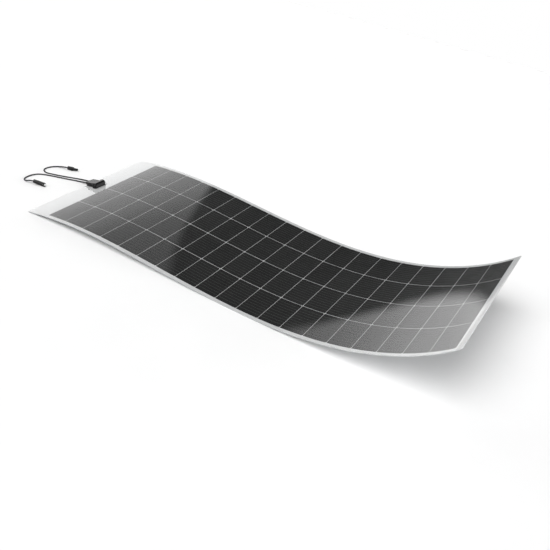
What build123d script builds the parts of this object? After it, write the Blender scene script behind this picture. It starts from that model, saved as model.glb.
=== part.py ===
"""Flexible solar sheet: a thin curved laminate of half-cut cells with a junction box and two plug-in leads."""

from build123d import *
import os
from math import cos, pi, radians, sin, tan

os.makedirs("parts", exist_ok=True)

# ---------------------------------------------------------------- driving dimensions, mm and degrees
# Cells: half-cut wafers in four rows, each row one string of nineteen cells
rows = 4
columns = 19
cell_width = 182.0
cell_length = 97.3
cell_gap = 2.0
cell_corner = 5.0
cell_edge_margin = 18.0

# Flat size of the laminate
box_strip = 111.0
end_border = 29.3
sheet_corner = 6.0

# Layers, from the underside up
back_thickness = 1.2
rear_film = 0.4
ribbon_thickness = 0.15
cell_thickness = 0.2
front_film = 0.35
front_thickness = 0.3
cover_thickness = 0.12

# Cell ribbons and bus ribbons
ribbons_per_cell = 9
ribbon_pitch = 17.4
ribbon_width = 0.9
ribbon_inset = 3.0
bus_width = 6.0
bus_offset = 4.0
bus_inset = 4.0
lead_offset = 16.0
lead_leg_y = 14.0
riser_thickness = 0.3

# Rest curve: the bend grows evenly with the distance from the straight point
straight_point = 739.0
free_end_radius = 778.0
dip_angle = -3.9525
shortest_arc = 2.0

# Junction box, in its own plane on the box strip
box_centre = 41.0
box_length = 70.0
box_width = 50.0
box_corner = 6.0
wing_length = 24.0
wing_width = 70.0
box_wall = 4.0
box_floor = 2.0
base_height = 14.0
lid_shelf = 4.5
lid_dome = 5.0
lid_roof = 1.8
lid_lip_depth = 1.6
lid_lip_width = 1.4
dome_margin = 1.4
dome_corner = 4.6
dome_taper = 38.0
gasket_width = 1.6
gasket_depth = 1.0
pad_thickness = 1.0
pad_length = 64.0
pad_width = 46.0
slot_length = 5.0
slot_width = 40.0
riser_x = 24.0

# Terminals inside the box
rail_thickness = 1.0
rail_height = 5.0
rail_width = 8.0
rail_spacing = 14.0
post_size = 4.0
clamp_length = 7.0
clamp_width = 6.4
clamp_height = 5.5
clamp_x = -19.0
screw_radius = 1.3
diode_x = 5.0
diode_size = 4.6
diode_height = 2.6

# Leads, glands and plug connectors
cable_diameter = 6.0
core_radius = 1.5
cable_spacing = 22.0
cable_axis = 8.0
running_gap = 0.3
gland_boss_radius = 5.7
gland_boss_length = 8.0
gland_nut_radius = 6.9
gland_nut_length = 11.5
gland_seal_radius = 4.5
gland_seal_length = 6.0
sheath_end_x = -27.0
gland_exit_x = -65.0
sliding_gap = 0.05
plug_nut_radius = 8.9
plug_nut_length = 18.0
plug_thread_radius = 7.0
plug_flange_radius = 9.6
plug_shell_radius = 8.2
plug_shell_bore = 6.8
plug_shell_end = 52.0
plug_bore = 5.5
contact_start = 20.0
contact_radius = 2.5
pin_radius = 2.0
pin_end = 50.0
socket_nose_radius = 6.1
socket_nose_end = 51.0
latch_pivot = 24.4
latch_root_radius = 1.1
latch_end = 62.0
latch_width = 7.0
latch_inner = 6.8
latch_outer = 9.0
latch_slot_floor = 4.5
lead_in = 9.0

# ---------------------------------------------------------------- sizes that follow from them
row_pitch = cell_width + cell_gap
column_pitch = cell_length + cell_gap
sheet_length = box_strip + columns * column_pitch - cell_gap + end_border
sheet_width = rows * row_pitch - cell_gap + 2 * cell_edge_margin
half_width = sheet_width / 2

ribbon_floor = back_thickness + rear_film
cell_bottom = ribbon_floor + ribbon_thickness
cell_top = cell_bottom + cell_thickness
ribbon_roof = cell_top + ribbon_thickness
film_top = ribbon_roof + front_film
sheet_thickness = film_top + front_thickness
cable_radius = cable_diameter / 2

first_cell = box_strip
last_cell_end = box_strip + columns * column_pitch - cell_gap
box_bus = (first_cell - bus_offset - bus_width, first_cell - bus_offset)
end_bus = (last_cell_end + bus_offset, last_cell_end + bus_offset + bus_width)
lead_track = (first_cell - lead_offset - bus_width, first_cell - lead_offset)

# The curve is built from one arc for the box strip, one for each column of cells and one for the end border
stations = [0.0]
stations += [box_strip - cell_gap / 2 + column * column_pitch for column in range(columns + 1)]
stations += [sheet_length]


def slope_at(u):
    """Slope of the sheet, in radians, at a distance u along it from the box end."""
    bend = (u - straight_point) ** 2 / (2 * free_end_radius * (sheet_length - straight_point))
    return radians(dip_angle) + bend


def arc_radius(start, end):
    """Signed radius of the arc between two stations: positive where the sheet curls up."""
    return (end - start) / (slope_at(end) - slope_at(start))


station_points = [(0.0, 0.0)]
for start, end in zip(stations, stations[1:]):
    x, z = station_points[-1]
    radius = arc_radius(start, end)
    x += radius * (sin(slope_at(end)) - sin(slope_at(start)))
    z -= radius * (cos(slope_at(end)) - cos(slope_at(start)))
    station_points.append((x, z))


def slope_on_arc(u):
    """Slope of the arc that holds u, with the arc's number."""
    number = max(i for i, start in enumerate(stations[:-1]) if start <= u)
    start, end = stations[number], stations[number + 1]
    return slope_at(start) + (u - start) / arc_radius(start, end), number


def from_box_end(u, height):
    """Point (x, z) at u along the sheet and a height above its underside, with x from the box end."""
    slope, number = slope_on_arc(u)
    start, end = stations[number], stations[number + 1]
    radius = arc_radius(start, end)
    x, z = station_points[number]
    x += radius * (sin(slope) - sin(slope_at(start))) - height * sin(slope)
    z -= radius * (cos(slope) - cos(slope_at(start))) - height * cos(slope)
    return x, z


# The origin lies midway between the tips of the gland bosses and the free end, level with the two lines
# on which the sheet rests
box_slope, _ = slope_on_arc(box_centre)
box_origin_x, _ = from_box_end(box_centre, sheet_thickness + pad_thickness)
boss_reach = box_length / 2 + gland_boss_length
boss_tip_x = box_origin_x - boss_reach * cos(box_slope) - (cable_axis + gland_boss_radius) * sin(box_slope)
middle_x = (boss_tip_x + station_points[-1][0]) / 2


def on_sheet(u, height):
    """Point (x, z) at u along the sheet and a height above its underside."""
    x, z = from_box_end(u, height)
    return x - middle_x, z


def sheet_curve(u_low, u_high, height):
    """Arcs along the sheet at one height, for a BuildLine."""
    cuts = [u_low] + [u for u in stations if u_low < u < u_high] + [u_high]
    for u_start, u_end in zip(cuts, cuts[1:]):
        ends = on_sheet(u_start, height), on_sheet(u_end, height)
        if u_end - u_start < shortest_arc:
            Line(*ends)
        else:
            ThreePointArc(ends[0], on_sheet((u_start + u_end) / 2, height), ends[1])


def layer(u_low, u_high, y, h_low, h_high):
    """Lengthwise profile of a layer, in the plane at y. It is extruded towards -Y."""
    with BuildSketch(Plane.XZ.offset(-y)) as profile:
        with BuildLine():
            sheet_curve(u_low, u_high, h_low)
            sheet_curve(u_low, u_high, h_high)
            Line(on_sheet(u_low, h_low), on_sheet(u_low, h_high))
            Line(on_sheet(u_high, h_low), on_sheet(u_high, h_high))
        make_face()
    return profile.sketch


def upright_corners(part):
    """The four short corner edges of a layer that is still a plain rectangle."""
    return part.edges().group_by(SortBy.LENGTH)[0]


def row_low(row):
    """Lowest y of a row of cells. Row 0 is the one at -Y."""
    return cell_edge_margin - half_width + row * row_pitch


def cell_start(column):
    """Distance along the sheet to the near edge of a column of cells."""
    return box_strip + column * column_pitch


def save(part, name):
    """Label a finished piece and write its STEP file."""
    part.label = name
    export_step(part, f"parts/{name}.step")


# ---------------------------------------------------------------- laminate: cells and their ribbons
# Neighbouring rows carry current in opposite directions, so their cells are turned end for end
for row in range(rows):
    toward_free_end = row % 2 == 0
    row_high = row_low(row) + cell_width

    with BuildPart() as cell_row:
        for column in range(columns):
            u = cell_start(column)
            extrude(layer(u, u + cell_length, row_high, cell_bottom, cell_top), amount=cell_width)
        cut_corners = ShapeList()
        for cell in cell_row.part.solids():
            uprights = upright_corners(cell).sort_by(Axis.X)
            cut_corners += uprights[2:] if toward_free_end else uprights[:2]
        chamfer(cut_corners, cell_corner)
    save(cell_row.part, f"cell_row_{row + 1}")

    # Each ribbon runs along the front of one cell, dives through the gap and runs along the back of the next
    first_y = row_low(row) + cell_width / 2 - ribbon_pitch * (ribbons_per_cell - 1) / 2 + ribbon_width / 2
    with BuildPart() as ribbon_line:
        with BuildSketch(Plane.XZ.offset(-first_y)):
            for column in range(columns - 1):
                front, back = (column, column + 1) if toward_free_end else (column + 1, column)
                side = 1 if toward_free_end else -1
                front_far = cell_start(front) + (ribbon_inset if side > 0 else cell_length - ribbon_inset)
                front_near = cell_start(front) + (cell_length if side > 0 else 0.0)
                back_near = cell_start(back) + (0.0 if side > 0 else cell_length)
                back_far = cell_start(back) + (cell_length - ribbon_inset if side > 0 else ribbon_inset)
                over, under = front_near + 0.9 * side, front_near + 0.3 * side
                dive_top, dive_low = back_near - 0.3 * side, back_near - 0.9 * side
                with BuildLine():
                    sheet_curve(*sorted((front_far, over)), ribbon_roof)
                    sheet_curve(*sorted((front_far, under)), cell_top)
                    sheet_curve(*sorted((dive_top, back_far)), cell_bottom)
                    sheet_curve(*sorted((dive_low, back_far)), ribbon_floor)
                    Line(on_sheet(front_far, cell_top), on_sheet(front_far, ribbon_roof))
                    Line(on_sheet(back_far, ribbon_floor), on_sheet(back_far, cell_bottom))
                    Line(on_sheet(over, ribbon_roof), on_sheet(dive_top, cell_bottom))
                    Line(on_sheet(under, cell_top), on_sheet(dive_low, ribbon_floor))
                make_face()
        extrude(amount=ribbon_width)
        front_end = (cell_start(columns - 1) + ribbon_inset, end_bus[1])
        back_end = (box_bus[0], cell_start(0) + cell_length - ribbon_inset)
        if not toward_free_end:
            front_end = (box_bus[0], cell_start(0) + cell_length - ribbon_inset)
            back_end = (cell_start(columns - 1) + ribbon_inset, end_bus[1])
        extrude(layer(*front_end, first_y, cell_top, ribbon_roof), amount=ribbon_width)
        extrude(layer(*back_end, first_y, ribbon_floor, cell_bottom), amount=ribbon_width)

    with BuildPart() as ribbon_row:
        with Locations(*[(0, i * ribbon_pitch, 0) for i in range(ribbons_per_cell)]):
            add(ribbon_line.part)
    save(ribbon_row.part, f"ribbon_row_{row + 1}")

# ---------------------------------------------------------------- laminate: bus ribbons
box_x, box_z = on_sheet(box_centre, sheet_thickness + pad_thickness)
box_plane = Plane(
    origin=(box_x, 0, box_z),
    x_dir=(cos(box_slope), 0, sin(box_slope)),
    z_dir=(-sin(box_slope), 0, cos(box_slope)),
)
riser_u = box_centre + riser_x
riser_foot = -(pad_thickness + sheet_thickness - cell_bottom)
rail_top = rail_height + rail_thickness

for name, side in (("positive_bus", -1), ("negative_bus", 1)):
    with BuildPart() as bus:
        outer = half_width - cell_edge_margin - bus_inset
        inner = row_pitch + cell_gap / 2 + bus_inset
        track_y = sorted((side * inner, side * (inner + bus_width)))
        bar_y = sorted((side * inner, side * outer))
        run_y = sorted((side * (lead_leg_y - bus_width / 2), side * (inner + bus_width)))
        leg_y = sorted((side * (lead_leg_y - bus_width / 2), side * (lead_leg_y + bus_width / 2)))
        for u_range, (y_low, y_high) in (
            (box_bus, bar_y),
            ((lead_track[0], box_bus[1]), track_y),
            (lead_track, run_y),
            ((riser_u, lead_track[1]), leg_y),
        ):
            extrude(layer(*u_range, y_high, cell_bottom, cell_top), amount=y_high - y_low)
        with BuildSketch(box_plane.offset(riser_foot)):
            with Locations((riser_x + riser_thickness / 2, side * lead_leg_y)):
                Rectangle(riser_thickness, bus_width)
        extrude(amount=rail_top - riser_foot)
    save(bus.part, name)
    if side < 0:
        positive_bus = bus.part
    else:
        negative_bus = bus.part

with BuildPart() as centre_bus:
    bridge = row_pitch - cell_gap / 2 - bus_inset
    extrude(layer(*box_bus, bridge, cell_bottom, cell_top), amount=2 * bridge)
    extrude(layer(riser_u, box_bus[1], bus_width / 2, cell_bottom, cell_top), amount=bus_width)
    with BuildSketch(box_plane.offset(riser_foot)):
        with Locations((riser_x + riser_thickness / 2, 0)):
            Rectangle(riser_thickness, bus_width)
    extrude(amount=rail_top - riser_foot)
save(centre_bus.part, "centre_bus")

with BuildPart() as end_buses:
    for row in (0, 2):
        y_high = row_low(row + 1) + cell_width - bus_inset
        bar_length = y_high - row_low(row) - bus_inset
        extrude(layer(*end_bus, y_high, cell_bottom, cell_top), amount=bar_length)
save(end_buses.part, "end_buses")

# ---------------------------------------------------------------- laminate: sheets and films
with BuildPart() as back_sheet:
    extrude(layer(0, sheet_length, half_width, 0, back_thickness), amount=sheet_width)
    fillet(upright_corners(back_sheet.part), sheet_corner)
save(back_sheet.part, "back_sheet")

# The rear film fills the level of the cells too, apart from a window for each row and a bed for each bus ribbon
with BuildPart() as rear_encapsulant:
    extrude(layer(0, sheet_length, half_width, back_thickness, ribbon_roof), amount=sheet_width)
    fillet(upright_corners(rear_encapsulant.part), sheet_corner)
    for row in range(rows):
        window = layer(box_bus[0], end_bus[1], row_low(row) + cell_width, ribbon_floor, ribbon_roof)
        extrude(window, amount=cell_width, mode=Mode.SUBTRACT)
    for ribbon in (positive_bus, negative_bus, centre_bus.part, end_buses.part):
        add(ribbon, mode=Mode.SUBTRACT)
save(rear_encapsulant.part, "rear_encapsulant")

# White strips hide the bus ribbons at both ends
cover_ranges = {
    "box_end_cover": (4.0, first_cell - 1.0),
    "free_end_cover": (last_cell_end + 1.0, sheet_length - 4.0),
}
cover_half_width = half_width - cell_edge_margin
slot_low, slot_high = riser_u - slot_length / 2, riser_u + slot_length / 2
cover_top = ribbon_roof + cover_thickness
for name, u_range in cover_ranges.items():
    with BuildPart() as cover:
        extrude(layer(*u_range, cover_half_width, ribbon_roof, cover_top), amount=2 * cover_half_width)
        if u_range[0] < slot_low < u_range[1]:
            slot = layer(slot_low, slot_high, slot_width / 2, ribbon_roof, cover_top)
            extrude(slot, amount=slot_width, mode=Mode.SUBTRACT)
    save(cover.part, name)

with BuildPart() as front_encapsulant:
    extrude(layer(0, sheet_length, half_width, ribbon_roof, film_top), amount=sheet_width)
    fillet(upright_corners(front_encapsulant.part), sheet_corner)
    for u_range in cover_ranges.values():
        bed = layer(*u_range, cover_half_width, ribbon_roof, cover_top)
        extrude(bed, amount=2 * cover_half_width, mode=Mode.SUBTRACT)
    slot = layer(slot_low, slot_high, slot_width / 2, ribbon_roof, film_top)
    extrude(slot, amount=slot_width, mode=Mode.SUBTRACT)
save(front_encapsulant.part, "front_encapsulant")

with BuildPart() as front_sheet:
    extrude(layer(0, sheet_length, half_width, film_top, sheet_thickness), amount=sheet_width)
    fillet(upright_corners(front_sheet.part), sheet_corner)
    slot = layer(slot_low, slot_high, slot_width / 2, film_top, sheet_thickness)
    extrude(slot, amount=slot_width, mode=Mode.SUBTRACT)
save(front_sheet.part, "front_sheet")

# ---------------------------------------------------------------- junction box
# The adhesive pad follows the strip's curve below and is flat above
pad_low, pad_high = box_centre - pad_length / 2, box_centre + pad_length / 2
pad_left = box_plane.from_local_coords((-pad_length / 2, 0, 0))
pad_right = box_plane.from_local_coords((pad_length / 2, 0, 0))
with BuildPart() as adhesive_pad:
    with BuildSketch(Plane.XZ.offset(-pad_width / 2)):
        with BuildLine():
            sheet_curve(pad_low, pad_high, sheet_thickness)
            Line(on_sheet(pad_low, sheet_thickness), (pad_left.X, pad_left.Z))
            Line((pad_left.X, pad_left.Z), (pad_right.X, pad_right.Z))
            Line((pad_right.X, pad_right.Z), on_sheet(pad_high, sheet_thickness))
        make_face()
    extrude(amount=pad_width)
    with BuildSketch(box_plane.offset(-2 * pad_thickness)):
        with Locations((riser_x, 0)):
            Rectangle(slot_length, slot_width)
    extrude(amount=3 * pad_thickness, mode=Mode.SUBTRACT)
save(adhesive_pad.part, "adhesive_pad")

wing_shift = (box_length - wing_length) / 2
gasket_inset = (box_wall - gasket_width) / 2
gland_planes = {
    name: Plane(
        origin=box_plane.from_local_coords((-box_length / 2, side * cable_spacing / 2, cable_axis)),
        x_dir=(0, 1, 0),
        z_dir=(-cos(box_slope), 0, -sin(box_slope)),
    )
    for name, side in (("positive", -1), ("negative", 1))
}


def turn(plane, start, end, radius, mode=Mode.ADD):
    """A round length of a piece, from start to end along its axis."""
    with BuildSketch(plane.offset(start)) as section:
        Circle(radius)
    extrude(section.sketch, amount=end - start, mode=mode)


def box_outline(level, inset):
    """The box's outline, a body with a wider wing at its far end, at an inset from its outer face."""
    with BuildSketch(box_plane.offset(level)) as outline:
        RectangleRounded(box_length - 2 * inset, box_width - 2 * inset, box_corner - inset)
        with Locations((wing_shift, 0)):
            RectangleRounded(wing_length - 2 * inset, wing_width - 2 * inset, box_corner - inset)
    return outline.sketch


def rim_ring(level, height, inset, width, mode=Mode.ADD):
    """A ring that follows the box's wall, at an inset from its outer face."""
    with BuildPart(mode=Mode.PRIVATE) as ring:
        extrude(box_outline(level, inset), amount=height)
        extrude(box_outline(level, inset + width), amount=height, mode=Mode.SUBTRACT)
    add(ring.part, mode=mode)


with BuildPart() as box_base:
    extrude(box_outline(0, 0), amount=base_height)
    extrude(box_outline(box_floor, box_wall), amount=base_height - box_floor, mode=Mode.SUBTRACT)
    rim_ring(base_height - gasket_depth, gasket_depth, gasket_inset, gasket_width, mode=Mode.SUBTRACT)
    with BuildSketch(box_plane):
        with Locations((riser_x, 0)):
            Rectangle(slot_length, slot_width)
    extrude(amount=box_floor, mode=Mode.SUBTRACT)
    # Posts that carry the terminal rails
    with BuildSketch(box_plane.offset(box_floor)):
        with Locations(*[(x, y) for x in (-6, 18) for y in (-rail_spacing, rail_spacing)], (0, 0), (18, 0)):
            Rectangle(post_size, post_size)
        with Locations(*[(clamp_x, side * cable_spacing / 2) for side in (-1, 1)]):
            Rectangle(post_size, post_size)
    extrude(amount=rail_height - box_floor)
    for plane in gland_planes.values():
        turn(plane, 0, gland_boss_length, gland_boss_radius)
        turn(plane, gland_boss_length - gland_seal_length, gland_boss_length, gland_seal_radius, Mode.SUBTRACT)
        turn(plane, -box_wall, gland_boss_length, cable_radius + running_gap, Mode.SUBTRACT)
save(box_base.part, "box_base")

with BuildPart() as box_gasket:
    rim_ring(base_height - gasket_depth, gasket_depth, gasket_inset, gasket_width)
save(box_gasket.part, "box_gasket")

shelf_top = base_height + lid_shelf
with BuildPart() as box_lid:
    extrude(box_outline(base_height, 0), amount=lid_shelf)
    shelf_rim = box_lid.part.faces().sort_by(Axis(box_plane.origin, box_plane.z_dir))[-1].edges()
    chamfer(shelf_rim, 1.2)
    with BuildSketch(box_plane.offset(shelf_top)):
        with Locations((wing_shift, 0)):
            RectangleRounded(wing_length - 2 * dome_margin, wing_width - 2 * dome_margin, dome_corner)
    extrude(amount=lid_dome, taper=dome_taper)
    lip_inset = box_wall + running_gap
    hollow = box_outline(base_height, lip_inset + lid_lip_width)
    extrude(hollow, amount=lid_shelf - lid_roof, mode=Mode.SUBTRACT)
    dome_inset = dome_margin + lid_dome * tan(radians(dome_taper)) + lid_roof
    with BuildSketch(box_plane.offset(shelf_top - lid_roof)):
        with Locations((wing_shift, 0)):
            Rectangle(wing_length - 2 * dome_inset, wing_width - 2 * dome_inset)
    extrude(amount=lid_dome, mode=Mode.SUBTRACT)
    # A lip that drops inside the base and locates the lid
    rim_ring(base_height - lid_lip_depth, lid_lip_depth, lip_inset, lid_lip_width)
save(box_lid.part, "box_lid")

# ---------------------------------------------------------------- terminals, clamps and diodes
for name, side in (("positive_rail", -1), ("negative_rail", 1)):
    with BuildPart() as rail:
        with BuildSketch(box_plane.offset(rail_height)):
            with Locations(((riser_x - 16) / 2, side * rail_spacing)):
                Rectangle(riser_x + 16, rail_width)
            with Locations((clamp_x + 1, side * cable_spacing / 2)):
                Rectangle(clamp_length + 5, clamp_width + 0.6)
        extrude(amount=rail_thickness)
    save(rail.part, name)

with BuildPart() as centre_rail:
    with BuildSketch(box_plane.offset(rail_height)):
        with Locations(((riser_x - 6) / 2, 0)):
            Rectangle(riser_x + 6, rail_width)
    extrude(amount=rail_thickness)
save(centre_rail.part, "centre_rail")

clamp_top = rail_top + clamp_height
with BuildPart() as cable_clamps:
    for side in (-1, 1):
        with BuildSketch(box_plane.offset(rail_top)):
            with Locations((clamp_x, side * cable_spacing / 2)):
                Rectangle(clamp_length, clamp_width)
        extrude(amount=clamp_height)
    with BuildSketch(box_plane.offset(cable_axis)):
        with Locations(*[(clamp_x, side * cable_spacing / 2) for side in (-1, 1)]):
            Circle(screw_radius)
    extrude(amount=clamp_top - cable_axis, mode=Mode.SUBTRACT)
    for plane in gland_planes.values():
        turn(plane, -box_length, 0, core_radius, Mode.SUBTRACT)
save(cable_clamps.part, "cable_clamps")

with BuildPart() as clamp_screws:
    with BuildSketch(box_plane.offset(cable_axis + core_radius)):
        with Locations(*[(clamp_x, side * cable_spacing / 2) for side in (-1, 1)]):
            Circle(screw_radius)
    extrude(amount=clamp_top - cable_axis - core_radius)
    with BuildSketch(box_plane.offset(clamp_top - 0.7)):
        with Locations(*[(clamp_x, side * cable_spacing / 2) for side in (-1, 1)]):
            Rectangle(0.5, 3 * screw_radius)
    extrude(amount=1.0, mode=Mode.SUBTRACT)
save(clamp_screws.part, "clamp_screws")

for number, side in ((1, -1), (2, 1)):
    with BuildPart() as diode:
        with BuildSketch(box_plane.offset(rail_height)):
            with Locations((diode_x, side * rail_spacing / 2)):
                Rectangle(diode_size + 1.4, diode_size)
        extrude(amount=diode_height)
        chamfer(diode.part.faces().sort_by(Axis(box_plane.origin, box_plane.z_dir))[-1].edges(), 0.5)
        with BuildSketch(box_plane.offset(rail_top)):
            with Locations((diode_x, side * rail_spacing / 2)):
                Rectangle(2.0, rail_spacing - rail_width + 4.0)
        extrude(amount=0.4)
    save(diode.part, f"bypass_diode_{number}")

# ---------------------------------------------------------------- glands
for name, plane in gland_planes.items():
    with BuildPart() as gland_seal:
        seal_start = gland_boss_length - gland_seal_length
        turn(plane, seal_start, gland_boss_length, gland_seal_radius - sliding_gap)
        turn(plane, seal_start, gland_boss_length, cable_radius + sliding_gap, Mode.SUBTRACT)
    save(gland_seal.part, f"{name}_gland_seal")

    nut_start = 0.6
    nut_end = nut_start + gland_nut_length
    with BuildPart() as gland_nut:
        turn(plane, nut_start, nut_end, gland_nut_radius)
        chamfer(gland_nut.part.faces().sort_by(Axis(plane.origin, plane.z_dir))[-1].edges(), 2.0)
        turn(plane, nut_start, gland_boss_length + running_gap, gland_boss_radius + running_gap, Mode.SUBTRACT)
        turn(plane, nut_start, nut_end, cable_radius + 0.4, Mode.SUBTRACT)
        with BuildSketch(plane.offset(nut_start)):
            with PolarLocations(gland_nut_radius + 0.35, 14):
                Circle(0.8)
        extrude(amount=gland_nut_length - 3.0, mode=Mode.SUBTRACT)
    save(gland_nut.part, f"{name}_gland_nut")

# ---------------------------------------------------------------- plug connectors
# Both lie on the ground with their mating ends low, each on its own heading
def plug_plane(x, y, height, heading, dip):
    """Plane at a connector's cable end: its heading is in degrees from +X, its dip in degrees below level."""
    ahead = Vector(cos(radians(heading)), sin(radians(heading)), 0)
    up = Vector(0, 0, 1)
    return Plane(
        origin=(x, y, height),
        x_dir=ahead * sin(radians(dip)) + up * cos(radians(dip)),
        z_dir=ahead * cos(radians(dip)) - up * sin(radians(dip)),
    )


plug_planes = {
    "pin": plug_plane(-1157.4, -181.0, 16.3, 15.8, 6.2),
    "socket": plug_plane(-1158.4, 40.5, 12.5, 29.8, 6.6),
}

for name, plane in plug_planes.items():
    with BuildPart() as plug_nut:
        turn(plane, 0, plug_nut_length, plug_nut_radius)
        chamfer(plug_nut.part.faces().sort_by(Axis(plane.origin, plane.z_dir))[0].edges(), 2.4)
        turn(plane, 6, plug_nut_length, plug_thread_radius + running_gap, Mode.SUBTRACT)
        turn(plane, 0, plug_nut_length, cable_radius + 0.6, Mode.SUBTRACT)
        with BuildSketch(plane.offset(4.0)):
            with PolarLocations(plug_nut_radius + 0.5, 12):
                Circle(1.3)
        extrude(amount=plug_nut_length - 5.5, mode=Mode.SUBTRACT)
    save(plug_nut.part, f"{name}_plug_nut")

    with BuildPart() as plug_clamp:
        turn(plane, 6.4, 11.6, plug_bore - sliding_gap)
        turn(plane, 6.4, 11.6, cable_radius + sliding_gap, Mode.SUBTRACT)
        with BuildSketch(plane.offset(6.4)):
            with PolarLocations(plug_bore - 1.0, 8):
                Rectangle(3.0, 0.8)
        extrude(amount=4.0, mode=Mode.SUBTRACT)
    save(plug_clamp.part, f"{name}_plug_clamp")

    with BuildPart() as plug_seal:
        turn(plane, 11.6, 19.4, plug_bore)
        turn(plane, 11.6, 19.4, cable_radius, Mode.SUBTRACT)
    save(plug_seal.part, f"{name}_plug_seal")

plane = plug_planes["pin"]
latch_middle = (latch_inner + latch_outer) / 2
root_plane = Plane(origin=plane.origin, x_dir=plane.x_dir, z_dir=-plane.y_dir)
root_centres = [(side * latch_middle, latch_pivot) for side in (-1, 1)]
with BuildPart() as pin_housing:
    turn(plane, 7, 19, plug_thread_radius)
    turn(plane, 18.6, 24, plug_flange_radius)
    turn(plane, 24, plug_shell_end, plug_shell_radius)
    chamfer(pin_housing.part.faces().sort_by(Axis(plane.origin, plane.z_dir))[-1].edges(), 0.6)
    turn(plane, 7, contact_start, plug_bore, Mode.SUBTRACT)
    turn(plane, contact_start, 30, contact_radius, Mode.SUBTRACT)
    turn(plane, 30, plug_shell_end, plug_shell_bore, Mode.SUBTRACT)
    # Two slots for the latch arms, open at the mouth, each with a round seat for the arm's root
    slot_span = plug_flange_radius - latch_slot_floor
    with BuildSketch(plane.offset(24)):
        for side in (-1, 1):
            with Locations((side * (latch_slot_floor + slot_span / 2), 0)):
                Rectangle(slot_span, latch_width + 2 * running_gap)
    extrude(amount=plug_shell_end - 24, mode=Mode.SUBTRACT)
    with BuildSketch(root_plane) as seats:
        with Locations(*root_centres):
            Circle(latch_root_radius + 2 * sliding_gap)
    extrude(seats.sketch, amount=latch_width / 2 + running_gap, both=True, mode=Mode.SUBTRACT)
save(pin_housing.part, "pin_housing")

for number, side in ((1, 1), (2, -1)):
    with BuildPart() as latch_arm:
        with BuildSketch(root_plane) as arm_profile:
            with Locations((side * latch_middle, latch_pivot)):
                Circle(latch_root_radius)
            with Locations((side * latch_middle, (latch_pivot + latch_end) / 2)):
                Rectangle(latch_outer - latch_inner, latch_end - latch_pivot)
            # The catch near the tip, with a lead-in slope
            with BuildLine():
                Polyline(
                    (side * latch_outer, latch_end - 7.0),
                    (side * plug_flange_radius, latch_end - 7.0),
                    (side * plug_flange_radius, latch_end - 5.0),
                    (side * latch_outer, latch_end - 1.5),
                    close=True,
                )
            make_face()
        extrude(arm_profile.sketch, amount=latch_width / 2, both=True)
    save(latch_arm.part, f"latch_arm_{number}")

with BuildPart() as pin_contact:
    turn(plane, contact_start, 30, contact_radius)
    turn(plane, 30, pin_end, pin_radius)
    chamfer(pin_contact.part.faces().sort_by(Axis(plane.origin, plane.z_dir))[-1].edges(), 0.8)
    turn(plane, contact_start, 28, core_radius, Mode.SUBTRACT)
save(pin_contact.part, "pin_contact")

plane = plug_planes["socket"]
with BuildPart() as socket_housing:
    turn(plane, 7, 19, plug_thread_radius)
    turn(plane, 18.6, 24, plug_flange_radius)
    turn(plane, 24, 31, plug_shell_radius + 0.4)
    turn(plane, 31, socket_nose_end, socket_nose_radius)
    chamfer(socket_housing.part.faces().sort_by(Axis(plane.origin, plane.z_dir))[-1].edges(), 0.8)
    turn(plane, 7, contact_start, plug_bore, Mode.SUBTRACT)
    turn(plane, contact_start, socket_nose_end - 2, contact_radius + 0.4, Mode.SUBTRACT)
    turn(plane, contact_start, socket_nose_end, pin_radius + 0.4, Mode.SUBTRACT)
    # Catches that the mating plug's latch arms snap into
    with BuildSketch(plane.offset(26)):
        for side in (-1, 1):
            with Locations((side * 8.2, 0)):
                Rectangle(3.0, latch_width + 0.6)
    extrude(amount=5, mode=Mode.SUBTRACT)
    # Groove for the sealing ring
    with BuildSketch(plane.offset(33)):
        Circle(socket_nose_radius)
        Circle(socket_nose_radius - 0.8, mode=Mode.SUBTRACT)
    extrude(amount=2, mode=Mode.SUBTRACT)
save(socket_housing.part, "socket_housing")

with BuildPart() as socket_ring:
    turn(plane, 33, 35, socket_nose_radius + 0.5)
    fillet(socket_ring.part.edges(), 0.7)
    turn(plane, 33, 35, socket_nose_radius - 0.8, Mode.SUBTRACT)
save(socket_ring.part, "socket_ring")

with BuildPart() as socket_contact:
    turn(plane, contact_start, socket_nose_end - 2, contact_radius + 0.4)
    turn(plane, contact_start, 28, core_radius, Mode.SUBTRACT)
    turn(plane, 30, socket_nose_end - 2, pin_radius + 0.03, Mode.SUBTRACT)
save(socket_contact.part, "socket_contact")

# ---------------------------------------------------------------- leads
sheath_end_plug = contact_start - 0.4
ground = cable_radius


def in_gland(side, x):
    """Point on a gland's axis, at x in the box's own plane."""
    return box_plane.from_local_coords((x, side * cable_spacing / 2, cable_axis))


def on_plug(name, distance):
    """Point on a connector's axis, measured from its cable end."""
    return plug_planes[name].from_local_coords((0, 0, distance))


cable_routes = {
    "positive": [
        in_gland(-1, sheath_end_x),
        in_gland(-1, gland_exit_x),
        (-1040.0, -17.0, ground),
        (-1110.0, -47.5, ground),
        (-1185.4, -75.0, ground),
        (-1220.4, -100.0, ground),
        (-1230.4, -139.0, ground),
        (-1226.4, -177.0, ground),
        (-1197.9, -196.0, ground + 5.0),
        on_plug("pin", -lead_in),
        on_plug("pin", sheath_end_plug),
    ],
    "negative": [
        in_gland(1, sheath_end_x),
        in_gland(1, gland_exit_x),
        (-1040.0, 8.5, ground),
        (-1105.0, -23.5, ground),
        (-1168.0, -50.0, ground),
        (-1208.4, -62.0, ground),
        (-1237.4, -41.0, ground),
        (-1236.4, -6.0, ground),
        (-1219.4, 22.0, ground),
        (-1195.4, 34.0, ground + 4.0),
        on_plug("socket", -lead_in),
        on_plug("socket", sheath_end_plug),
    ],
}

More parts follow.
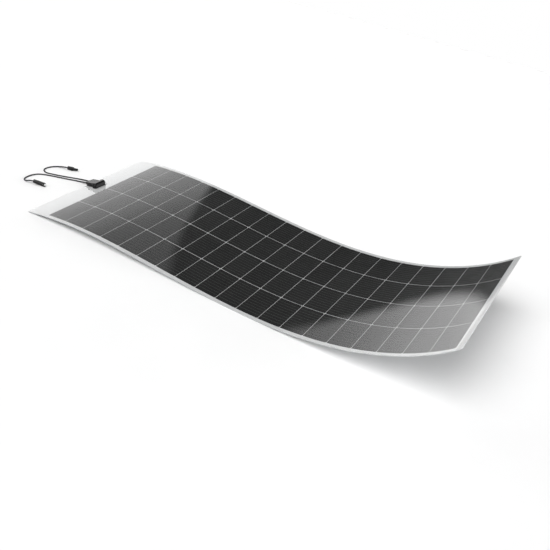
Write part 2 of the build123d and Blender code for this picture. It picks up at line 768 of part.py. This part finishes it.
for name, route in cable_routes.items():
    points = [Vector(*point) for point in route]
    radii = []
    for before, corner, after in zip(points, points[1:], points[2:]):
        run_in, run_out = corner - before, after - corner
        turn_angle = radians(run_in.get_angle(run_out))
        radii.append(0.45 * min(run_in.length, run_out.length) / tan(turn_angle / 2))
    with BuildPart() as cable:
        with BuildLine() as centre_line:
            FilletPolyline(*points, radius=radii)
        with BuildSketch(Plane(origin=centre_line.line @ 0, z_dir=centre_line.line % 0)):
            Circle(cable_radius)
        sweep()
    save(cable.part, f"{name}_cable")
    length = centre_line.wire().length
    expected = pi * cable_radius**2 * length
    print(name, "cable radii", [round(radius, 1) for radius in radii])
    print(name, "runs", [round((b - a).length, 1) for a, b in zip(points, points[1:])])
    print(name, "length", round(length, 1), "volume ratio", round(cable.part.volume / expected, 4))

# Bared copper at both ends of each lead
for name, plug in (("positive", "pin"), ("negative", "socket")):
    with BuildPart() as core_ends:
        turn(gland_planes[name], -(box_length / 2 + clamp_x + 3.5), -(box_length / 2 + sheath_end_x), core_radius)
        turn(plug_planes[plug], sheath_end_plug, 27.8, core_radius)
    save(core_ends.part, f"{name}_core_ends")
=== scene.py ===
"""Looks of the flexible solar sheet: laminate, junction box, leads and plugs on a pale studio floor."""

import random
from math import cos, radians, sin, sqrt

import bpy
from mathutils import Matrix, Vector


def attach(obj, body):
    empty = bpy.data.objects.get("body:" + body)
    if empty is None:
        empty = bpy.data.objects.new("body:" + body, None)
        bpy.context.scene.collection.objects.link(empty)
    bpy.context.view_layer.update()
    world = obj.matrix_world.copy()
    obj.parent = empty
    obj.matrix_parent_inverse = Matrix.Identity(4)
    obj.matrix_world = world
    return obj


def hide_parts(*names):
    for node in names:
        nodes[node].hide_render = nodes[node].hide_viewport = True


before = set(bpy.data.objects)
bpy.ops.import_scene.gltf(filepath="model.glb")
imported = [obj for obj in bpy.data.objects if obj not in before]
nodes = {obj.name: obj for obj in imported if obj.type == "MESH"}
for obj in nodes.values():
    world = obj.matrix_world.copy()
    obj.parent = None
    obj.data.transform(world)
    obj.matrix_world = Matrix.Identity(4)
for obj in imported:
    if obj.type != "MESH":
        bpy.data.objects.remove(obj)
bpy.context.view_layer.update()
scene = bpy.context.scene
rng = random.Random(7)

# ---------------------------------------------------------------- camera
camera_right = Vector((0.848626, 0.511128, 0.136319))
camera_up = Vector((-0.380158, 0.410066, 0.829051))
camera_back = Vector((0.367851, -0.755377, 0.542302))
camera_place = Vector((1.22149, -2.32441, 1.62966))
lens_mm = 46.60

camera = bpy.data.objects.new("camera", bpy.data.cameras.new("camera"))
scene.collection.objects.link(camera)
camera.matrix_world = Matrix.Translation(camera_place) @ Matrix(
    (camera_right, camera_up, camera_back)
).transposed().to_4x4()
camera.data.lens = lens_mm
camera.data.sensor_width = 36.0
camera.data.clip_start = 0.05
camera.data.clip_end = 100.0
scene.camera = camera

# ---------------------------------------------------------------- sizes, in metres
rows = 4
columns = 19
cell_width = 0.182
cell_length = 0.0973
cell_gap = 0.002
cell_corner = 0.005
edge_margin = 0.018
box_strip = 0.111
end_border = 0.0293
sheet_corner = 0.006

back_top = 0.0012
ribbon_floor = 0.0016
cell_bottom = 0.00175
cell_top = 0.00195
ribbon_roof = 0.00210
cover_top = 0.00222
sheet_thickness = 0.00275
film_gap = 0.00001

ribbons_per_cell = 9
ribbon_pitch = 0.0174
ribbon_width = 0.0009
ribbon_inset = 0.003
ribbon_overrun = 0.0006
cover_outer_gap = 0.004
cover_cell_gap = 0.001
bus_near = 0.004
bus_far = 0.010

straight_point = 0.739
free_end_radius = 0.778
dip = radians(-3.9525)
middle_x = 0.976165
longest_step = 0.0098

row_pitch = cell_width + cell_gap
column_pitch = cell_length + cell_gap
sheet_length = box_strip + columns * column_pitch - cell_gap + end_border
half_width = (rows * row_pitch - cell_gap) / 2 + edge_margin
last_cell_end = sheet_length - end_border
box_bus = (box_strip - bus_far, box_strip - bus_near)
end_bus = (last_cell_end + bus_near, last_cell_end + bus_far)
cover_half_width = half_width - edge_margin

stations = [0.0]
stations += [box_strip - cell_gap / 2 + column * column_pitch for column in range(columns + 1)]
stations += [sheet_length]


def slope_at(u):
    """Slope of the sheet at a distance u along it from the box end."""
    return dip + (u - straight_point) ** 2 / (2 * free_end_radius * (sheet_length - straight_point))


station_points = [(0.0, 0.0)]
for start, end in zip(stations, stations[1:]):
    bend = (slope_at(end) - slope_at(start)) / (end - start)
    x, z = station_points[-1]
    x += (sin(slope_at(end)) - sin(slope_at(start))) / bend
    z -= (cos(slope_at(end)) - cos(slope_at(start))) / bend
    station_points.append((x, z))


def on_sheet(u, y, height):
    """Point at u along the sheet, y across it and a height above its underside."""
    number = max(i for i, station in enumerate(stations[:-1]) if station <= u + 1e-9)
    start, end = stations[number], stations[number + 1]
    bend = (slope_at(end) - slope_at(start)) / (end - start)
    slope = slope_at(start) + (u - start) * bend
    x, z = station_points[number]
    x += (sin(slope) - sin(slope_at(start))) / bend - height * sin(slope)
    z -= (cos(slope) - cos(slope_at(start))) / bend - height * cos(slope)
    return x - middle_x, y, z


def row_low(row):
    return edge_margin - half_width + row * row_pitch


def cell_start(column):
    return box_strip + column * column_pitch


def steps(low, high, longest):
    """Evenly spaced values from low to high, no further apart than longest."""
    count = max(1, int((high - low) / longest + 0.999))
    return [low + (high - low) * i / count for i in range(count + 1)]


# ---------------------------------------------------------------- mesh building
class Builder:
    """Gathers faces whose corners are shared by position, with flat coordinates for the materials."""

    def __init__(self):
        self.points = []
        self.flat = []
        self.index = {}
        self.faces = []
        self.tones = []

    def corner(self, u, y, height, key=0):
        place = (round(u, 7), round(y, 7), round(height, 7), key)
        if place not in self.index:
            self.index[place] = len(self.points)
            self.points.append(on_sheet(u, y, height))
            self.flat.append((u, y))
        return self.index[place]

    def face(self, corners, tone=0.5):
        self.faces.append(corners)
        self.tones.append(tone)

    def beam(self, sections, key=0, tone=0.5):
        """A closed bar along the sheet: each section is (u, y_low, y_high, height_low, height_high)."""
        rings = [
            [
                self.corner(u, y_low, low, key),
                self.corner(u, y_high, low, key),
                self.corner(u, y_high, high, key),
                self.corner(u, y_low, high, key),
            ]
            for u, y_low, y_high, low, high in sections
        ]
        self.face(rings[0], tone)
        self.face(rings[-1][::-1], tone)
        for near, far in zip(rings, rings[1:]):
            for i in range(4):
                j = (i + 1) % 4
                self.face([near[i], far[i], far[j], near[j]], tone)

    def terrain(self, us, ys, bottom, top_at):
        """A closed slab over the whole sheet whose top height is top_at(u, y)."""
        def at(u, y, height):
            limit = half_at(u)
            return self.corner(u, max(-limit, min(limit, y)), height)

        tops = [
            [top_at((u0 + u1) / 2, (y0 + y1) / 2) for y0, y1 in zip(ys, ys[1:])] for u0, u1 in zip(us, us[1:])
        ]
        for i, (u0, u1) in enumerate(zip(us, us[1:])):
            for j, (y0, y1) in enumerate(zip(ys, ys[1:])):
                top = tops[i][j]
                self.face([at(u0, y0, top), at(u1, y0, top), at(u1, y1, top), at(u0, y1, top)])
                self.face([at(u0, y1, bottom), at(u1, y1, bottom), at(u1, y0, bottom), at(u0, y0, bottom)])
                beyond = tops[i][j - 1] if j else bottom
                if beyond < top:
                    self.face([at(u0, y0, beyond), at(u1, y0, beyond), at(u1, y0, top), at(u0, y0, top)])
                beyond = tops[i][j + 1] if j + 2 < len(ys) else bottom
                if beyond < top:
                    self.face([at(u1, y1, beyond), at(u0, y1, beyond), at(u0, y1, top), at(u1, y1, top)])
                beyond = tops[i - 1][j] if i else bottom
                if beyond < top:
                    self.face([at(u0, y1, beyond), at(u0, y0, beyond), at(u0, y0, top), at(u0, y1, top)])
                beyond = tops[i + 1][j] if i + 2 < len(us) else bottom
                if beyond < top:
                    self.face([at(u1, y0, beyond), at(u1, y1, beyond), at(u1, y1, top), at(u1, y0, top)])

    def make(self, name, material, sharp=30.0):
        mesh = bpy.data.meshes.new(name)
        mesh.from_pydata(self.points, [], self.faces)
        mesh.validate()
        layer = mesh.uv_layers.new(name="flat")
        for loop in mesh.loops:
            layer.data[loop.index].uv = self.flat[loop.vertex_index]
        tone = mesh.attributes.new("tone", "FLOAT", "FACE")
        for item, value in zip(tone.data, self.tones):
            item.value = value
        for polygon in mesh.polygons:
            polygon.use_smooth = True
        mesh.set_sharp_from_angle(angle=radians(sharp))
        mesh.materials.append(material)
        piece = bpy.data.objects.new(name, mesh)
        scene.collection.objects.link(piece)
        return piece


def half_at(u):
    """Half the sheet's width at u, with its corners rounded."""
    inward = min(u, sheet_length - u)
    if inward >= sheet_corner:
        return half_width
    return half_width - sheet_corner + sqrt(max(0.0, sheet_corner**2 - (sheet_corner - inward) ** 2))


corner_steps = [0.0, 0.0002, 0.0008, 0.0018, 0.0032, 0.0045, sheet_corner]


def lengthwise(*marks):
    """Stations along the sheet that are fine enough for a smooth curve and include the marks."""
    fixed = set(corner_steps) | {sheet_length - step for step in corner_steps}
    fixed = sorted(fixed | set(marks) | {box_strip, last_cell_end})
    values = []
    for low, high in zip(fixed, fixed[1:]):
        if high - low > 1e-7:
            values += steps(low, high, longest_step)[:-1]
    return values + [sheet_length]


# ---------------------------------------------------------------- materials
def node_adder(tree):
    """A function that adds a node to the tree, with its inputs linked or set and its settings made."""

    def add(kind, inputs=None, **settings):
        node = tree.nodes.new(kind)
        for key, value in settings.items():
            setattr(node, key, value)
        for key, value in (inputs or {}).items():
            if isinstance(value, bpy.types.NodeSocket):
                tree.links.new(value, node.inputs[key])
            else:
                node.inputs[key].default_value = value
        return node

    return add


def new_material(name):
    """A material with its Principled node, and helpers that add and link nodes."""
    material = bpy.data.materials.new(name)
    material.use_nodes = True
    tree = material.node_tree
    return material, tree.nodes["Principled BSDF"], node_adder(tree), tree.links.new


def ramp_of(node, *stops):
    """Sets a colour ramp's stops: (position, grey or colour)."""
    elements = node.color_ramp.elements
    while len(elements) < len(stops):
        elements.new(0.5)
    for element, (position, value) in zip(elements, stops):
        element.position = position
        colour = (value, value, value) if isinstance(value, (int, float)) else value
        element.color = (*colour, 1.0)


def clouded(add, noise, colour, mottle, start, end):
    """The colour, made darker and lighter by the mottle as the noise runs from start to end."""
    shade = add("ShaderNodeValToRGB", {"Fac": noise})
    dark = [c * (1 - mottle) for c in colour]
    light = [min(1.0, c * (1 + mottle)) for c in colour]
    ramp_of(shade, (start, dark), (end, light))
    return shade


def spread(add, noise, low, high):
    """A value that runs from low to high over the middle half of the noise."""
    return add("ShaderNodeMapRange", {"Value": noise, 1: 0.25, 2: 0.75, 3: low, 4: high})


def plastic(name, colour, rough, grain=2200.0, bump=0.05, mottle=0.15):
    """Moulded plastic or rubber: fine grain, uneven gloss and slight clouding of the tone."""
    material, shader, add, link = new_material(name)
    coords = add("ShaderNodeTexCoord").outputs["Object"]
    cloud = add("ShaderNodeTexNoise", {"Vector": coords, "Scale": 60.0, "Detail": 5.0, "Roughness": 0.6})
    fine = add("ShaderNodeTexNoise", {"Vector": coords, "Scale": grain, "Detail": 2.0, "Roughness": 0.5})
    shade = clouded(add, cloud.outputs["Fac"], colour, mottle, 0.3, 0.7)
    gloss = spread(add, cloud.outputs["Fac"], rough * 0.85, rough * 1.15)
    relief = add("ShaderNodeBump", {"Strength": bump, "Distance": 0.0002, "Height": fine.outputs["Fac"]})
    link(shade.outputs["Color"], shader.inputs["Base Color"])
    link(gloss.outputs["Result"], shader.inputs["Roughness"])
    link(relief.outputs["Normal"], shader.inputs["Normal"])
    shader.inputs["Specular IOR Level"].default_value = 0.28
    return material


def metal(name, colour, rough, mottle=0.1):
    """Drawn or plated metal with a slightly uneven finish."""
    material, shader, add, link = new_material(name)
    coords = add("ShaderNodeTexCoord").outputs["Object"]
    cloud = add("ShaderNodeTexNoise", {"Vector": coords, "Scale": 400.0, "Detail": 4.0, "Roughness": 0.55})
    shade = clouded(add, cloud.outputs["Fac"], colour, mottle, 0.3, 0.7)
    gloss = spread(add, cloud.outputs["Fac"], rough * 0.8, rough * 1.25)
    link(shade.outputs["Color"], shader.inputs["Base Color"])
    link(gloss.outputs["Result"], shader.inputs["Roughness"])
    shader.inputs["Metallic"].default_value = 1.0
    return material


def film(name, colour, rough, mottle=0.03, grain=900.0, bump=0.06):
    """White laminate film: faint clouding and a fine matt emboss."""
    material, shader, add, link = new_material(name)
    flat = add("ShaderNodeUVMap", uv_map="flat").outputs["UV"]
    cloud = add("ShaderNodeTexNoise", {"Vector": flat, "Scale": 14.0, "Detail": 6.0, "Roughness": 0.6})
    fine = add("ShaderNodeTexNoise", {"Vector": flat, "Scale": grain, "Detail": 2.0, "Roughness": 0.5})
    shade = clouded(add, cloud.outputs["Fac"], colour, mottle, 0.25, 0.75)
    gloss = spread(add, fine.outputs["Fac"], rough * 0.9, rough * 1.1)
    relief = add("ShaderNodeBump", {"Strength": bump, "Distance": 0.0001, "Height": fine.outputs["Fac"]})
    link(shade.outputs["Color"], shader.inputs["Base Color"])
    link(gloss.outputs["Result"], shader.inputs["Roughness"])
    link(relief.outputs["Normal"], shader.inputs["Normal"])
    shader.inputs["Specular IOR Level"].default_value = 0.2
    return material


finger_pitch = 0.0015


def silicon():
    """Near-black cell: a tone of its own for each cell, crystal clouding and fine collector fingers."""
    material, shader, add, link = new_material("silicon_cell")
    flat = add("ShaderNodeUVMap", uv_map="flat").outputs["UV"]
    tone = add("ShaderNodeAttribute", attribute_name="tone")
    cloud = add("ShaderNodeTexNoise", {"Vector": flat, "Scale": 22.0, "Detail": 5.0, "Roughness": 0.6})
    mixed = add("ShaderNodeMath", {0: tone.outputs["Fac"], 1: cloud.outputs["Fac"]}, operation="ADD")
    halved = add("ShaderNodeMath", {0: mixed.outputs["Value"], 1: 0.5}, operation="MULTIPLY")
    shade = add("ShaderNodeValToRGB", {"Fac": halved.outputs["Value"]})
    ramp_of(shade, (0.25, (0.0075, 0.0080, 0.0079)), (0.75, (0.0125, 0.0132, 0.0130)))
    # Collector fingers run across the ribbons, one finger pitch apart
    along = add("ShaderNodeSeparateXYZ", {"Vector": flat}).outputs["X"]
    turns = add("ShaderNodeMath", {0: along, 1: 1.0 / finger_pitch}, operation="MULTIPLY")
    part = add("ShaderNodeMath", {0: turns.outputs["Value"]}, operation="FRACT")
    off = add("ShaderNodeMath", {0: part.outputs["Value"], 1: 0.5}, operation="SUBTRACT")
    size = add("ShaderNodeMath", {0: off.outputs["Value"]}, operation="ABSOLUTE")
    line = add("ShaderNodeMapRange", {"Value": size.outputs["Value"], 1: 0.012, 2: 0.03, 3: 1.0, 4: 0.0})
    line.clamp = True
    printed = add(
        "ShaderNodeMix", {0: line.outputs["Result"], 6: shade.outputs["Color"], 7: (0.060, 0.062, 0.061, 1.0)},
        data_type="RGBA",
    )
    link(printed.outputs[2], shader.inputs["Base Color"])
    gloss = spread(add, cloud.outputs["Fac"], 0.42, 0.55)
    link(gloss.outputs["Result"], shader.inputs["Roughness"])
    shader.inputs["Specular IOR Level"].default_value = 0.15
    return material


def clear_skin():
    """Clear front film: only its gloss shows, stronger at a grazing angle, over what lies under it."""
    material, shader, add, link = new_material("clear_front_film")
    flat = add("ShaderNodeUVMap", uv_map="flat").outputs["UV"]
    wave = add("ShaderNodeTexNoise", {"Vector": flat, "Scale": 9.0, "Detail": 2.0, "Roughness": 0.4})
    cloud = add("ShaderNodeTexNoise", {"Vector": flat, "Scale": 45.0, "Detail": 5.0, "Roughness": 0.6})
    gloss = spread(add, cloud.outputs["Fac"], 0.035, 0.05)
    relief = add("ShaderNodeBump", {"Strength": 0.02, "Distance": 0.0002, "Height": wave.outputs["Fac"]})
    glance = add("ShaderNodeFresnel", {"IOR": 1.48})
    inside = add("ShaderNodeNewGeometry").outputs["Backfacing"]
    outside = add("ShaderNodeMath", {0: 1.0, 1: inside}, operation="SUBTRACT")
    shown = add(
        "ShaderNodeMath", {0: glance.outputs["Fac"], 1: outside.outputs["Value"]}, operation="MULTIPLY"
    )
    link(gloss.outputs["Result"], shader.inputs["Roughness"])
    link(relief.outputs["Normal"], shader.inputs["Normal"])
    link(shown.outputs["Value"], shader.inputs["Alpha"])
    shader.inputs["Base Color"].default_value = (1.0, 1.0, 1.0, 1.0)
    shader.inputs["Metallic"].default_value = 1.0
    return material


white_film = film("white_rear_film", (0.47, 0.475, 0.475), 0.6)
white_strip = film("white_cover_strip", (0.47, 0.475, 0.475), 0.55)
back_film = film("matt_back_film", (0.60, 0.61, 0.62), 0.65, grain=1400.0, bump=0.12)
cell_material = silicon()
tinned = metal("tinned_ribbon", (0.14, 0.14, 0.14), 0.55)
skin_material = clear_skin()
black_plastic = plastic("black_moulded_plastic", (0.006, 0.006, 0.0062), 0.38)
lid_plastic = plastic("black_lid_plastic", (0.006, 0.006, 0.0062), 0.28, bump=0.03)
sheath = plastic("black_cable_sheath", (0.004, 0.004, 0.0042), 0.5, grain=900.0)
rubber = plastic("black_rubber", (0.02, 0.02, 0.02), 0.6)
sealant = plastic("grey_sealant", (0.35, 0.35, 0.35), 0.5)
plated = metal("plated_contact", (0.75, 0.73, 0.68), 0.25)
copper = metal("bare_copper", (0.80, 0.42, 0.27), 0.35)
steel = metal("zinc_plated_steel", (0.62, 0.62, 0.63), 0.35)

# ---------------------------------------------------------------- laminate pieces
def stand_in(piece, finish, *replaced):
    """Rides the piece on the sheet in place of the named CAD nodes. The finish argument is not used."""
    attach(piece, "sheet")
    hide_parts(*replaced)


width_marks = sorted(
    {-half_width, half_width, -cover_half_width, cover_half_width}
    | {row_low(row) for row in range(rows)}
    | {row_low(row) + cell_width for row in range(rows)}
)


def rear_level(u, y):
    """Height of the rear film: full between the rows and at the edges, low under each row of cells."""
    in_row = any(row_low(row) < y < row_low(row) + cell_width for row in range(rows))
    return ribbon_floor if in_row and box_bus[0] < u < end_bus[1] else ribbon_roof


back = Builder()
back.terrain(lengthwise(), [-half_width, half_width], 0.0, lambda u, y: back_top)
back_sheet = back.make("back_sheet_film", back_film)

rear = Builder()
rear.terrain(lengthwise(box_bus[0], end_bus[1]), width_marks, back_top, rear_level)
rear_sheet = rear.make("rear_film", white_film)

film_foot = ribbon_roof + film_gap
front = Builder()
front.terrain(lengthwise(), [-half_width, half_width], film_foot, lambda u, y: sheet_thickness)
front_skin = front.make("front_film", skin_material)

for name, u_range, replaced in (
    ("cover_strip_box_end", (cover_outer_gap, box_strip - cover_cell_gap), "box_end_cover"),
    ("cover_strip_free_end", (last_cell_end + cover_cell_gap, sheet_length - cover_outer_gap), "free_end_cover"),
):
    strip = Builder()
    strip.beam(
        [(u, -cover_half_width, cover_half_width, film_foot, cover_top) for u in steps(*u_range, longest_step)]
    )
    stand_in(strip.make(name, white_strip), "white_strip", replaced)

for row in range(rows):
    toward_free_end = row % 2 == 0
    low, high = row_low(row), row_low(row) + cell_width
    cells = Builder()
    for column in range(columns):
        u = cell_start(column)
        tone = rng.random()
        marks = steps(u, u + cell_length, longest_step)
        corner_mark = u + cell_length - cell_corner if toward_free_end else u + cell_corner
        sections = []
        for mark in sorted(marks + [corner_mark]):
            past = mark - corner_mark if toward_free_end else corner_mark - mark
            inset = max(0.0, past)
            sections.append((mark, low + inset, high - inset, cell_bottom, cell_top))
        cells.beam(sections, column, tone)
    stand_in(cells.make(f"cells_row_{row + 1}", cell_material), "silicon", f"cell_row_{row + 1}")

    ribbons = Builder()
    first_y = low + cell_width / 2 - ribbon_pitch * (ribbons_per_cell - 1) / 2
    for line in range(ribbons_per_cell):
        y_low = first_y + line * ribbon_pitch - ribbon_width / 2
        y_high = y_low + ribbon_width
        for column in range(-1, columns):
            # Front of this cell, then the dive through the gap and the back of the next one
            front_cell, back_cell = (column, column + 1) if toward_free_end else (column + 1, column)
            sections = []
            if 0 <= front_cell < columns:
                start = cell_start(front_cell)
                ends = (start + ribbon_inset, start + cell_length + ribbon_overrun)
                if not toward_free_end:
                    ends = (start - ribbon_overrun, start + cell_length - ribbon_inset)
                if front_cell == (columns - 1 if toward_free_end else 0):
                    ends = (ends[0], end_bus[1]) if toward_free_end else (box_bus[0], ends[1])
                sections += [(u, y_low, y_high, cell_top, ribbon_roof) for u in steps(*ends, longest_step)]
            if 0 <= back_cell < columns:
                start = cell_start(back_cell)
                ends = (start - ribbon_overrun, start + cell_length - ribbon_inset)
                if not toward_free_end:
                    ends = (start + ribbon_inset, start + cell_length + ribbon_overrun)
                if back_cell == (0 if toward_free_end else columns - 1):
                    ends = (box_bus[0], ends[1]) if toward_free_end else (ends[0], end_bus[1])
                sections += [(u, y_low, y_high, ribbon_floor, cell_bottom) for u in steps(*ends, longest_step)]
            ribbons.beam(sorted(sections), (line, column))
    stand_in(ribbons.make(f"ribbons_row_{row + 1}", tinned), "tinned_copper", f"ribbon_row_{row + 1}")

stand_in(back_sheet, "back_film", "back_sheet")
stand_in(rear_sheet, "white_film", "rear_encapsulant")
stand_in(front_skin, "front_film", "front_encapsulant", "front_sheet")

# ---------------------------------------------------------------- CAD pieces that keep their shape
finishes = {
    black_plastic: (
        "box_base", "positive_gland_nut", "negative_gland_nut", "pin_plug_nut", "socket_plug_nut",
        "pin_plug_clamp", "socket_plug_clamp", "pin_housing", "socket_housing", "latch_arm_1", "latch_arm_2",
        "bypass_diode_1", "bypass_diode_2",
    ),
    lid_plastic: ("box_lid",),
    rubber: (
        "box_gasket", "positive_gland_seal", "negative_gland_seal", "pin_plug_seal", "socket_plug_seal",
        "socket_ring",
    ),
    sealant: ("adhesive_pad",),
    tinned: (
        "positive_bus", "negative_bus", "centre_bus", "end_buses", "positive_rail", "negative_rail", "centre_rail",
    ),
    plated: ("cable_clamps", "pin_contact", "socket_contact"),
    copper: ("positive_core_ends", "negative_core_ends"),
    steel: ("clamp_screws",),
}
for material, names in finishes.items():
    for name in names:
        node = nodes[name]
        node.data.materials.clear()
        node.data.materials.append(material)

# ---------------------------------------------------------------- leads
cable_diameter = 0.006
curve_steps = 24
routes = {
    "positive_cable": [
        (-0.9645, -0.0110, 0.0146),
        (-1.0020, -0.0110, 0.0079),
        (-1.0400, -0.0170, 0.0030),
        (-1.1100, -0.0475, 0.0030),
        (-1.1854, -0.0750, 0.0030),
        (-1.2204, -0.1000, 0.0030),
        (-1.2304, -0.1390, 0.0030),
        (-1.2264, -0.1770, 0.0030),
        (-1.1979, -0.1960, 0.0080),
        (-1.1660, -0.1834, 0.0173),
        (-1.1387, -0.1757, 0.0142),
    ],
    "negative_cable": [
        (-0.9645, 0.0110, 0.0146),
        (-1.0020, 0.0110, 0.0079),
        (-1.0400, 0.0085, 0.0030),
        (-1.1050, -0.0235, 0.0030),
        (-1.1680, -0.0500, 0.0030),
        (-1.2084, -0.0620, 0.0030),
        (-1.2374, -0.0410, 0.0030),
        (-1.2364, -0.0060, 0.0030),
        (-1.2194, 0.0220, 0.0030),
        (-1.1954, 0.0340, 0.0070),
        (-1.1662, 0.0361, 0.0135),
        (-1.1415, 0.0502, 0.0102),
    ],
}


def lead(name, route):
    """A lead as a smooth tube along its route."""
    curve = bpy.data.curves.new(name, "CURVE")
    curve.dimensions = "3D"
    curve.resolution_u = curve_steps
    curve.bevel_depth = cable_diameter / 2
    curve.bevel_resolution = 8
    curve.use_fill_caps = True
    spline = curve.splines.new("NURBS")
    spline.points.add(len(route) - 1)
    for point, place in zip(spline.points, route):
        point.co = (*place, 1.0)
    spline.order_u = 3
    spline.use_endpoint_u = True
    spline.resolution_u = curve_steps
    curve.materials.append(sheath)
    piece = bpy.data.objects.new(name, curve)
    scene.collection.objects.link(piece)
    stand_in(piece, "cable_sheath", name)
    return piece


for name, route in routes.items():
    lead(name, route)

# ---------------------------------------------------------------- floor
floor_half = 4.5
floor_corners = [(x * floor_half, y * floor_half, 0) for x, y in ((-1, -1), (1, -1), (1, 1), (-1, 1))]
floor_mesh = bpy.data.meshes.new("floor")
floor_mesh.from_pydata(floor_corners, [], [(0, 1, 2, 3)])
floor_material, floor_shader, add, link = new_material("pale_floor")
floor_noise = add(
    "ShaderNodeTexNoise", {"Vector": add("ShaderNodeTexCoord").outputs["Object"], "Scale": 3.0, "Detail": 3.0}
)
floor_shade = add("ShaderNodeValToRGB", {"Fac": floor_noise.outputs["Fac"]})
ramp_of(floor_shade, (0.3, 0.775), (0.7, 0.79))
link(floor_shade.outputs["Color"], floor_shader.inputs["Base Color"])
floor_shader.inputs["Roughness"].default_value = 0.9
floor_shader.inputs["Specular IOR Level"].default_value = 0.0
floor_mesh.materials.append(floor_material)
floor = bpy.data.objects.new("floor", floor_mesh)
scene.collection.objects.link(floor)

# ---------------------------------------------------------------- studio light
# A wall of light that ends in a sharp edge, a high key light and a low fill, each on its own heading.
# Headings are the angle whose tangent is X over Y. The camera itself sees a plain white backdrop.
wall_edge = (radians(-30.6), radians(-32.2))
wall_far_edge = (radians(-100), radians(-80))
wall_strength = 2.0
key_heading = radians(-160)
key_elevation = radians(56)
key_spread = (cos(radians(36)), cos(radians(16)))
key_strength = 5.6
fill_near_edge = (radians(25), radians(45))
fill_far_edge = (radians(115), radians(85))
fill_heights = (0.62, 0.15)
fill_strength = 5.5
ambient = 0.03

world = bpy.data.worlds.new("studio")
scene.world = world
world.use_nodes = True
tree = world.node_tree
tree.nodes.clear()
add_world = node_adder(tree)

place = add_world("ShaderNodeTexCoord").outputs["Generated"]
direction = add_world("ShaderNodeSeparateXYZ", {"Vector": place})
key_direction = (
    cos(key_elevation) * sin(key_heading), cos(key_elevation) * cos(key_heading), sin(key_elevation)
)
heading = add_world(
    "ShaderNodeMath", {0: direction.outputs["X"], 1: direction.outputs["Y"]}, operation="ARCTAN2"
).outputs["Value"]
height = direction.outputs["Z"]


def step_between(value, start, end):
    """A soft step from 0 at start to 1 at end."""
    node = add_world("ShaderNodeMapRange", {"Value": value, 1: start, 2: end, 3: 0.0, 4: 1.0})
    node.interpolation_type = "SMOOTHSTEP"
    return node.outputs["Result"]


def times(a, b):
    return add_world("ShaderNodeMath", {0: a, 1: b}, operation="MULTIPLY").outputs["Value"]


def plus(a, b):
    return add_world("ShaderNodeMath", {0: a, 1: b}, operation="ADD").outputs["Value"]


wall_span = times(step_between(heading, *wall_edge), step_between(heading, *wall_far_edge))
wall_fall = add_world("ShaderNodeValToRGB", {"Fac": height})
ramp_of(
    wall_fall, (0.0, 0.95), (0.17, 1.0), (0.276, 0.93), (0.358, 0.78), (0.47, 0.60), (0.53, 0.36), (0.60, 0.28),
    (0.80, 0.12),
)
wall = times(times(wall_span, wall_fall.outputs["Color"]), wall_strength)
to_key = add_world(
    "ShaderNodeVectorMath", {0: place, 1: key_direction}, operation="DOT_PRODUCT"
).outputs["Value"]
key = times(step_between(to_key, *key_spread), key_strength)
fill = times(step_between(heading, *fill_near_edge), step_between(heading, *fill_far_edge))
fill = times(times(fill, step_between(height, *fill_heights)), fill_strength)
light = plus(plus(wall, key), plus(fill, ambient))
seen = add_world("ShaderNodeLightPath").outputs["Is Camera Ray"]
lit = add_world("ShaderNodeBackground", {"Color": light, "Strength": 1.0})
backdrop = add_world("ShaderNodeBackground", {"Color": (1.0, 1.0, 1.0, 1.0), "Strength": 1.0})
both = add_world("ShaderNodeMixShader", {0: seen, 1: lit.outputs[0], 2: backdrop.outputs[0]})
add_world("ShaderNodeOutputWorld", {"Surface": both.outputs[0]})

scene.view_settings.view_transform = "Standard"
